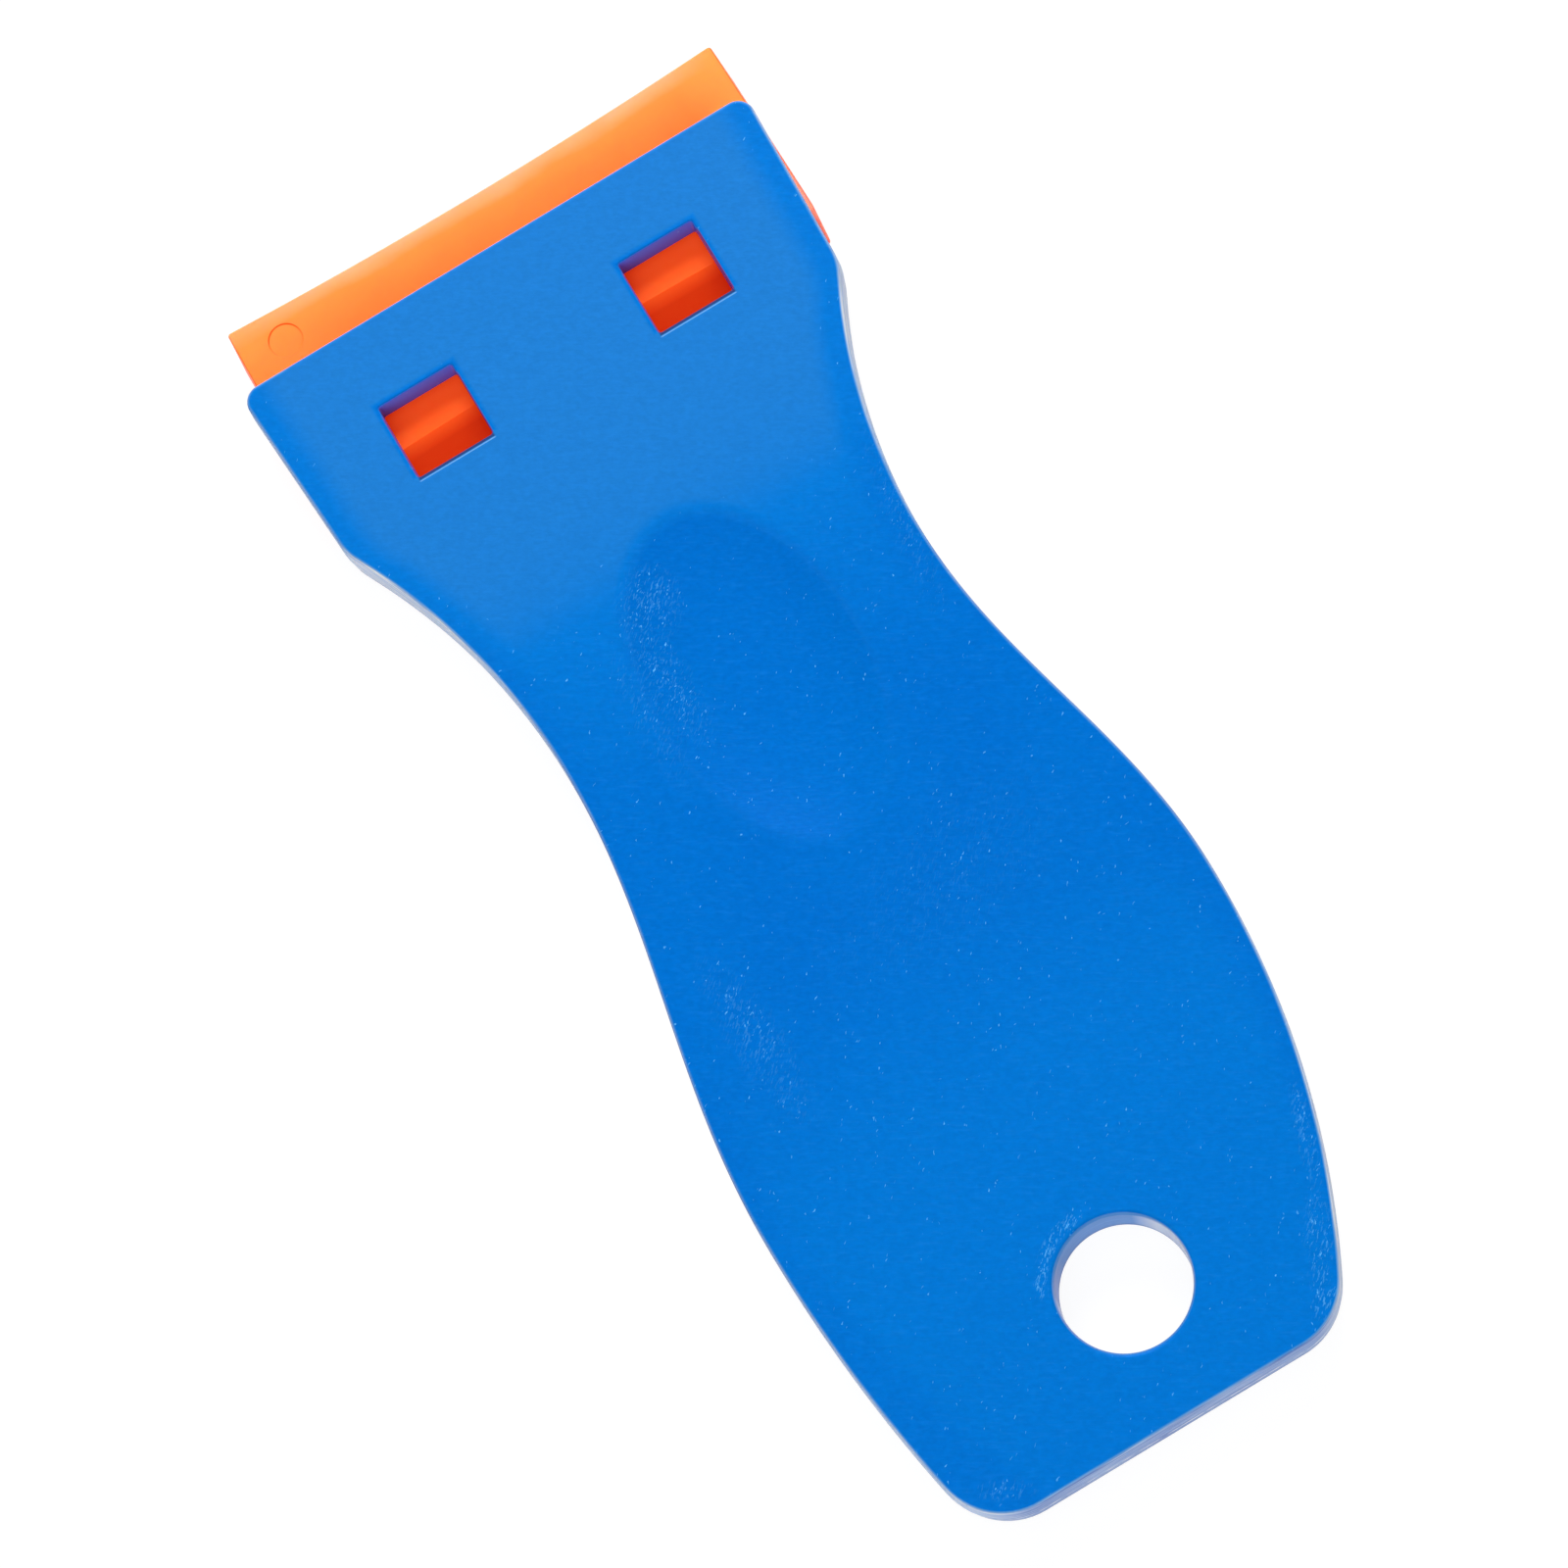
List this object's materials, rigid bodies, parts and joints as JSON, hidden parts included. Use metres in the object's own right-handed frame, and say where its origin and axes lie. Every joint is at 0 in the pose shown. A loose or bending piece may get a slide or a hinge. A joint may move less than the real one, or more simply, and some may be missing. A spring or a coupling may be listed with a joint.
{
  "type": "razor blade scraper",
  "caption": "Hand scraper with a waisted one-piece plastic handle, a hanging hole, a thumb recess, square windows and a push-fit double-edged plastic blade held by fingers.",
  "frame": {"origin": "the middle of the hanging hole, on the moulding's middle plane", "axes": "+Y points to the blade along the length of the tool, +X to the right across it when the windows are seen, +Z out of the face with the windows, along the axis of the hanging hole"},
  "size_m": [0.0416, 0.1011, 0.0046],
  "materials": {
    "blue_polypropylene": "satin, faintly translucent",
    "orange_plastic": "satin, translucent at its thin edges"
  },
  "bodies": {
    "handle": {"handle": "blue_polypropylene"},
    "blade": {"blade": "orange_plastic"}
  },
  "joints": [
    {"name": "blade_slide", "type": "slide", "parent": "handle", "child": "blade", "axis": [0, 1, 0], "range_m": [0, 0.012]}
  ]
}
